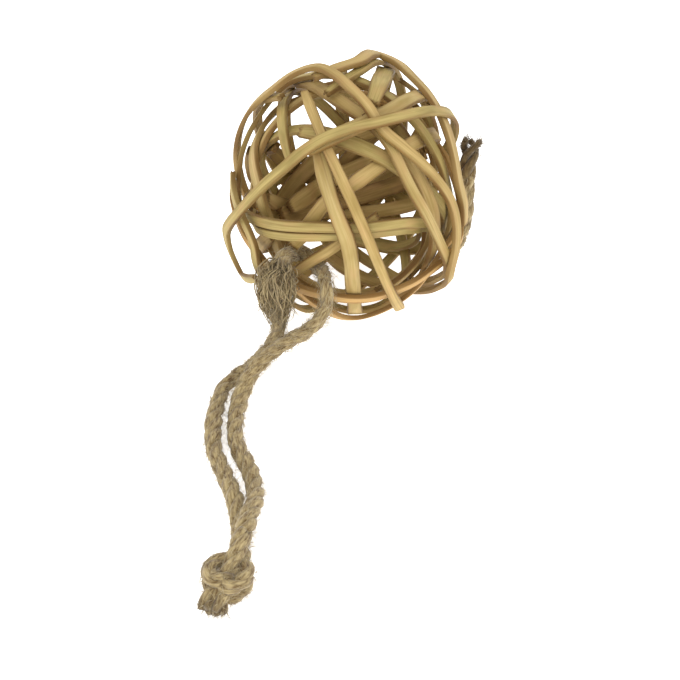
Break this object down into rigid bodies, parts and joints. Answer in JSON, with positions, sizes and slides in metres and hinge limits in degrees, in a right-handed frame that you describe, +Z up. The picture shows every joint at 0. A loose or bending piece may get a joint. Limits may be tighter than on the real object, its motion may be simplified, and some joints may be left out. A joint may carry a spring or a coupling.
{
  "type": "decorative sphere",
  "caption": "Openwork ball wound from flat split rattan or willow strips, with a knotted jute hanging loop; a small ornament to hang up or lay in a bowl.",
  "frame": {"origin": "on the floor, at the middle of the small flat spot the ball lies on", "axes": "+Z up; -Y towards the viewer of the ball's face, where the hanging loop lies; +X to the viewer's right"},
  "size_m": [0.0601, 0.1256, 0.0608],
  "materials": {
    "strip": "dry, bare split cane with lengthwise grooves",
    "warm_strip": "dry, bare split cane, warmer brown",
    "twine": "coarse fuzzy three-ply jute"
  },
  "bodies": {
    "root": {"strand_back_band_upper": "strip", "strand_back_band_middle": "strip", "strand_back_band_lower": "strip", "strand_back_slant_left": "strip", "strand_back_slant_middle": "strip", "strand_back_shoulder": "strip", "strand_left_shoulder_bar": "strip", "strand_right_upright": "strip", "strand_right_rim_inner": "strip", "strand_left_hip": "strip", "strand_loop_strand": "strip", "strand_left_upright": "strip", "strand_right_shoulder_band": "strip", "strand_waist_lower": "strip", "strand_waist_upper": "strip", "strand_left_shoulder_hook": "strip", "strand_right_chest_band": "strip", "strand_shoulder_band": "strip", "strand_middle_upright": "strip", "strand_left_rim": "strip", "strand_foot_ring_lower": "warm_strip", "strand_foot_ring_upper": "warm_strip", "strand_long_slant": "strip", "strand_left_slant": "strip", "strand_right_slant": "strip", "strand_front_arch_double": "strip", "strand_crown_upright": "strip", "strand_crown_band_front": "strip", "strand_right_rim": "strip", "strand_crown_to_right_foot": "strip", "strand_front_arch": "strip", "twine_bight": "twine", "twine_leg_left": "twine", "twine_leg_right": "twine", "twine_knot": "twine", "twine_end": "twine"}
  },
  "joints": []
}
